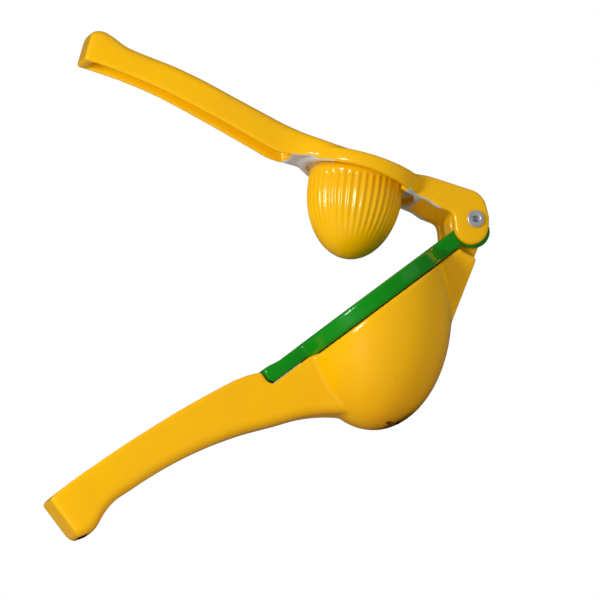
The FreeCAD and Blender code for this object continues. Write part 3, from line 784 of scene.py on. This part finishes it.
class SQUEEZER_OT_insert(BuildStep):
    """Insert bowl with its flange, thumb tab and two hinge lugs"""
    bl_idname = "squeezer.insert"
    bl_label = "Insert bowl"

    def execute(self, context):
        form = self.form()
        outer, shift = egg_wall(INSERT_RADIUS, INSERT_DEPTH, INSERT_LEAN, FLANGE_BOTTOM)
        mouth = INSERT_RADIUS - INSERT_RIM
        inner, shift_in = egg_wall(mouth, INSERT_DEPTH - INSERT_WALL, INSERT_LEAN,
                                   FLANGE_BOTTOM, inside=True)
        edge = round_corners([(INSERT_RADIUS, FLANGE_BOTTOM), (RIM_RADIUS, FLANGE_BOTTOM),
                              (RIM_RADIUS, FLANGE_TOP), (mouth + MOUTH_FLARE, FLANGE_TOP)],
                             [0.01, 0.9, 0.9, 1.2])
        wall = np.concatenate([outer, edge, inner])
        none = np.zeros(len(edge))
        centre = RIM_REACH + np.concatenate([shift, none, shift_in])
        bowl = skin(place(around(wall, centre), TILT))
        tab = slab(round_corners(TAB_SIDE, TAB_ROUNDS, 6), -TAB_HALF_WIDTH, TAB_HALF_WIDTH,
                   0.9, TILT)
        lug_outline = np.concatenate([
            arc_points((0, 0), LUG_EYE_RADIUS, 18, 190, 50),
            arc_points(LUG_LOBE, LUG_LOBE_RADIUS, 204, 344, 50),
            [(LUG_ROOT, FLANGE_BOTTOM), (LUG_ROOT, FLANGE_TOP)]])
        lugs = both(lambda low, high: slab(lug_outline, low, high, 0.8, TILT),
                    LUG_INNER, LUG_OUTER)
        void, void_shift = egg_wall(mouth, INSERT_DEPTH - INSERT_WALL, INSERT_LEAN,
                                    FLANGE_BOTTOM)
        lid = np.array([(mouth + MOUTH_FLARE, FLANGE_TOP), (mouth + MOUTH_FLARE, FLANGE_TOP + 9)])
        hollow = skin(place(around(np.concatenate([void, lid]),
                                   RIM_REACH + np.concatenate([void_shift, [0.0, 0.0]])), TILT))
        low = FLANGE_BOTTOM - INSERT_DEPTH
        drains = slots(RIM_REACH + INSERT_LEAN, low - 1, low + INSERT_DEPTH / 2, TILT)
        bore = rod(BORE_RADIUS, TILT)
        obj = cast("insert_bowl_casting", [bowl, tab] + lugs, [[hollow]], [drains, [bore]],
                   form.skin_size, form.soft_rounds)
        dress(obj, self.look()["green"], "inner_bowl", "green_enamel", "insert_bowl")
        return {"FINISHED"}


def dome_place(points):
    """From the dome's own frame, of width toward the handle, across and up its
    axis, to reach, width and height: turned by the dome's tilt and moved."""
    t = math.radians(DOME_TILT)
    u, v, w = np.moveaxis(points, -1, 0)
    reach = u * math.cos(t) + w * math.sin(t)
    height = -u * math.sin(t) + w * math.cos(t)
    return np.stack([DOME_REACH + reach, v, DOME_HEIGHT + height], -1)


def dome_profile(inset, top, steps=110):
    """Radius and height from the tip up to the collar's top, inset by a wall."""
    turn = np.linspace(0.012, math.pi / 2, steps)
    egg = np.stack([(DOME_RADIUS - inset) * np.sin(turn),
                    -(DOME_DEPTH - inset) * np.cos(turn)], -1)
    return np.concatenate([egg, [(DOME_RADIUS - inset, top)]])


def dome_shell(inset_out, inset_in, top):
    """Plain dome wall between two insets, open above."""
    outer = dome_profile(inset_out, top)
    inner = dome_profile(inset_in, top)[::-1]
    grid = around(np.concatenate([outer, inner]), 0.0)
    return skin(place(dome_place(grid), TILT - OPEN))


def dome_solid(inset, top):
    """Plain dome as a solid, for taking its inside out."""
    grid = around(dome_profile(inset, top), 0.0)
    return skin(place(dome_place(grid), TILT - OPEN))


class SQUEEZER_OT_press_arm(BuildStep):
    """Press arm: ring, plain dome wall, fork with two ears and upper handle"""
    bl_idname = "squeezer.press_arm"
    bl_label = "Press arm"

    def execute(self, context):
        form = self.form()
        turned = TILT - OPEN
        plate_profile = round_corners([(16.0, RING_UNDER), (RING_RADIUS, RING_UNDER),
                                       (RING_RADIUS, RING_TOP), (16.0, RING_TOP)],
                                      [0.0, 0.4, 1.6, 0.0], 10)
        plate = skin(place(around(plate_profile, RING_REACH), turned), loop=True)
        turn = np.linspace(0, 2 * math.pi, 224, endpoint=False)
        reach = RING_REACH + (SKIRT_INNER + RING_RADIUS) / 2 * np.cos(turn)
        bottom = np.interp(reach, SKIRT_REACHES, SKIRT_BOTTOMS)
        under = np.full_like(reach, RING_UNDER + 1.0)
        inner, outer = np.full_like(reach, SKIRT_INNER), np.full_like(reach, RING_RADIUS)
        section = np.stack([np.stack([inner, under], -1), np.stack([outer, under], -1),
                            np.stack([outer, bottom], -1), np.stack([inner, bottom], -1)], 1)
        section = round_corners(section, np.array([0.0, 0.0, 0.5, 0.5]), 5)
        grid = np.stack([RING_REACH + section[..., 0] * np.cos(turn)[:, None],
                         section[..., 0] * np.sin(turn)[:, None], section[..., 1]], -1)
        skirt = skin(place(grid, turned), loop=True)
        ear_outline = np.concatenate([
            EAR_ROOT, arc_through(*EAR_BACK[:3]), arc_through(*EAR_BACK[2:])[1:],
            arc_through(EAR_BACK[-1], *EAR_FOOT, 40)[1:], EAR_THROAT])
        ears = both(lambda low, high: slab(ear_outline, low, high, 0.9, turned),
                    EAR_INNER, EAR_OUTER)
        grip = handle(UPPER_STATIONS, turned, -1, UPPER_WEB, UPPER_CHANNEL, UPPER_EASE,
                      (3.4, 0.7, 2.0))
        dome = dome_shell(0.9, DOME_WALL, 13.0)
        solids = [plate, skirt, grip, dome] + ears
        tray = post(TRAY_RADIUS, TRAY_FLOOR, RING_TOP + 12, RING_REACH, turned)
        inside = dome_solid(DOME_WALL, 18.0)
        jaw = slab([(-20.0, -24.6), (FORK_SLOT_REACH, -24.6), (FORK_SLOT_REACH, 41.0),
                    (-20.0, 41.0)], -EAR_INNER, EAR_INNER, 0.01, turned)
        bore = rod(BORE_RADIUS, turned)
        obj = cast("press_arm_casting", solids, [[tray], [inside], [jaw]], [[bore]],
                   form.skin_size, form.soft_rounds)
        dress(obj, self.look()["arm"], "press", "yellow_enamel", "press_arm")
        return {"FINISHED"}


class SQUEEZER_OT_fluted_dome(BuildStep):
    """Skin of the dome: a plain collar, then flutes that fade toward the tip"""
    bl_idname = "squeezer.fluted_dome"
    bl_label = "Fluted dome"

    def execute(self, context):
        """The radius at a height is the egg's, less the flute depth times how far
        the flutes have come in at that height, times half of one less the cosine
        of the flute count times the turn, sharpened a little at the crests."""
        form = self.form()
        sides = form.flute_count * 14
        turn = np.linspace(0, 2 * math.pi, sides, endpoint=False)
        steps = np.linspace(0.012, math.pi / 2, 130)
        collar = [1.0, 2.0, 2.8, 3.4, 4.0, 4.6, RING_UNDER + 2.2]
        up_axis = np.concatenate([-DOME_DEPTH * np.cos(steps), collar])
        radius = np.concatenate([DOME_RADIUS * np.sin(steps), [DOME_RADIUS] * len(collar)])
        start = np.clip((4.6 - up_axis) / 1.8, 0, 1)
        fade = np.clip((up_axis + form.flute_end) / (form.flute_end - 11.0), 0, 1)
        come_in = start * start * (3 - 2 * start) * fade * fade * (3 - 2 * fade)
        scallop = (0.5 - 0.5 * np.cos(form.flute_count * turn)) ** 0.8
        bite = form.flute_depth * come_in[:, None] * scallop[None, :]
        outer = radius[:, None] - bite
        inner = np.maximum(radius - FLUTED_SKIN, 0.3)[::-1]
        radii = np.concatenate([outer, np.broadcast_to(inner[:, None], (len(inner), sides))])
        inside = np.maximum(up_axis[::-1], -DOME_DEPTH + FLUTED_SKIN)
        heights = np.concatenate([up_axis, inside])
        grid = np.stack([radii * np.cos(turn), radii * np.sin(turn),
                         np.broadcast_to(heights[:, None], radii.shape)], -1)
        obj = new_object("fluted_dome", skin(place(dome_place(grid), TILT - OPEN)))
        obj.data.shade_smooth()
        dress(obj, self.look()["yellow"], "press", "yellow_enamel")
        return {"FINISHED"}


class SQUEEZER_OT_rivet(BuildStep):
    """Hinge rivet with a domed head and a rolled, hollow end"""
    bl_idname = "squeezer.rivet"
    bl_label = "Rivet"

    def execute(self, context):
        """Rings of a profile carried round the pin's axis."""
        seat = EAR_OUTER + HEAD_GAP
        face = seat + HEAD_HEIGHT
        profile = round_corners(
            [(0.05, face), (HEAD_RADIUS * 0.6, face), (HEAD_RADIUS, face - 0.55),
             (HEAD_RADIUS, seat), (PIN_RADIUS, seat), (PIN_RADIUS, -seat), (HEAD_RADIUS, -seat),
             (HEAD_RADIUS, -face + 0.1), (2.6, -face), (1.9, -face + 0.15),
             (1.5, -face + 1.0), (1.4, -face + 4.0), (0.05, -face + 4.6)],
            [0.0, 1.6, 0.5, 0.2, 0.1, 0.1, 0.2, 0.7, 0.6, 0.4, 0.6, 0.8, 0.0], 9)
        turn = np.linspace(0, 2 * math.pi, 96, endpoint=False)
        grid = np.stack([profile[:, :1] * np.cos(turn),
                         np.broadcast_to(profile[:, 1:], (len(profile), 96)),
                         profile[:, :1] * np.sin(turn)], -1)
        obj = new_object("rivet", skin(place(grid, TILT)))
        obj.data.shade_smooth()
        obj.data.set_sharp_from_angle(angle=math.radians(50))
        dress(obj, self.look()["steel"], "outer_bowl", "rivet_steel", "hinge_rivet")
        return {"FINISHED"}


def area_light(name, power, size, position, target):
    """A soft rectangular light aimed at a point."""
    data = bpy.data.lights.new(name, "AREA")
    data.shape = "RECTANGLE"
    data.size, data.size_y = size
    data.energy = power
    obj = bpy.data.objects.new(name, data)
    bpy.context.scene.collection.objects.link(obj)
    back = np.asarray(position, float) - np.asarray(target, float)
    back = back / np.linalg.norm(back)
    side = np.cross((0, 0, 1), back)
    side = side / np.linalg.norm(side)
    rows = np.eye(4)
    rows[:3, 0], rows[:3, 1], rows[:3, 2] = side, np.cross(back, side), back
    rows[:3, 3] = position
    obj.matrix_world = Matrix(rows.tolist())


class SQUEEZER_OT_stage(BuildStep):
    """Pale table seen only from above, soft lights, white surroundings, camera"""
    bl_idname = "squeezer.stage"
    bl_label = "Stage"

    def execute(self, context):
        scene = bpy.context.scene
        stage = scene.squeezer_stage
        corners = np.array([(-1.6, -1.6, 0), (1.6, -1.6, 0), (1.6, 1.6, 0), (-1.6, 1.6, 0)])
        floor = new_object("table", (corners, [[0, 1, 2, 3]]))
        material, tree, surface = new_material("pale_table")
        noise = add(tree, "ShaderNodeTexNoise", {
            "Vector": add(tree, "ShaderNodeTexCoord").outputs["Object"]},
            inputs={"Scale": 20.0, "Detail": 4.0}).outputs["Fac"]
        pale = mix_node(tree, noise, (0.78, 0.78, 0.78, 1), (0.82, 0.82, 0.82, 1))
        mirrored = add(tree, "ShaderNodeLightPath").outputs["Is Glossy Ray"]
        tree.links.new(mix_node(tree, mirrored, pale, (0.12, 0.12, 0.12, 1)),
                       surface.inputs["Base Color"])
        surface.inputs["Roughness"].default_value = 0.6
        clear = tree.nodes.new("ShaderNodeBsdfTransparent")
        below = add(tree, "ShaderNodeNewGeometry").outputs["Backfacing"]
        blend = tree.nodes.new("ShaderNodeMixShader")
        tree.links.new(below, blend.inputs[0])
        tree.links.new(surface.outputs[0], blend.inputs[1])
        tree.links.new(clear.outputs[0], blend.inputs[2])
        tree.links.new(blend.outputs[0], tree.nodes["Material Output"].inputs["Surface"])
        floor.data.materials.append(material)

        world = scene.world or bpy.data.worlds.new("studio")
        scene.world = world
        world.use_nodes = True
        sky = world.node_tree
        sky.nodes.clear()
        path = sky.nodes.new("ShaderNodeLightPath").outputs
        tone = mix_node(sky, path["Is Glossy Ray"], (0.54, 0.54, 0.55, 1), (0.06, 0.06, 0.06, 1))
        tone = mix_node(sky, path["Is Camera Ray"], tone, (1, 1, 1, 1))
        light = add(sky, "ShaderNodeBackground", {"Color": tone}, inputs={"Strength": 1.0})
        out = sky.nodes.new("ShaderNodeOutputWorld")
        sky.links.new(light.outputs[0], out.inputs["Surface"])

        middle = (0.0, 0.0, 0.09)
        area_light("key", stage.key_power, (0.18, 0.26), (-0.56, -0.50, 0.34), middle)
        area_light("fill", stage.fill_power, (0.6, 0.6), (0.9, -0.6, 0.45), middle)

        right, above = np.array(VIEW_RIGHT), np.array(VIEW_UP)
        right /= np.linalg.norm(right)
        above -= right * (above @ right)
        above /= np.linalg.norm(above)
        back = np.cross(right, above)
        centre = PIN - VIEW_LEFT * right - VIEW_BELOW * above
        rows = np.eye(4)
        rows[:3, 0], rows[:3, 1], rows[:3, 2] = right, above, back
        rows[:3, 3] = centre + stage.distance * back
        data = bpy.data.cameras.new("camera")
        data.sensor_width = 36.0
        data.lens = data.sensor_width * stage.distance / VIEW_WIDTH
        camera = bpy.data.objects.new("camera", data)
        scene.collection.objects.link(camera)
        camera.matrix_world = Matrix(rows.tolist())
        scene.camera = camera
        scene.view_settings.view_transform = "Standard"
        return {"FINISHED"}


STEPS = ("outer_bowl", "insert", "press_arm", "fluted_dome", "rivet", "stage")


class SQUEEZER_PT_panel(bpy.types.Panel):
    bl_label = "Squeezer"
    bl_idname = "SQUEEZER_PT_panel"
    bl_space_type = "VIEW_3D"
    bl_region_type = "UI"
    bl_category = "Squeezer"

    def draw(self, context):
        layout = self.layout
        for owner in ("squeezer_form", "squeezer_look", "squeezer_stage"):
            group_of = getattr(context.scene, owner)
            for name in group_of.__annotations__:
                layout.prop(group_of, name)
        for step in STEPS:
            layout.operator("squeezer." + step)


CLASSES = (SqueezerLook, SqueezerForm, SqueezerStage, SQUEEZER_OT_outer_bowl,
           SQUEEZER_OT_insert, SQUEEZER_OT_press_arm, SQUEEZER_OT_fluted_dome,
           SQUEEZER_OT_rivet, SQUEEZER_OT_stage, SQUEEZER_PT_panel)


def register():
    for item in CLASSES:
        bpy.utils.register_class(item)
    bpy.types.Scene.squeezer_form = PointerProperty(type=SqueezerForm)
    bpy.types.Scene.squeezer_look = PointerProperty(type=SqueezerLook)
    bpy.types.Scene.squeezer_stage = PointerProperty(type=SqueezerStage)


def unregister():
    del bpy.types.Scene.squeezer_form
    del bpy.types.Scene.squeezer_look
    del bpy.types.Scene.squeezer_stage
    for item in reversed(CLASSES):
        bpy.utils.unregister_class(item)


def main():
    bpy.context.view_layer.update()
    register()
    for step in STEPS:
        getattr(bpy.ops.squeezer, step)()
    bpy.context.view_layer.update()


if __name__ == "__main__":
    main()
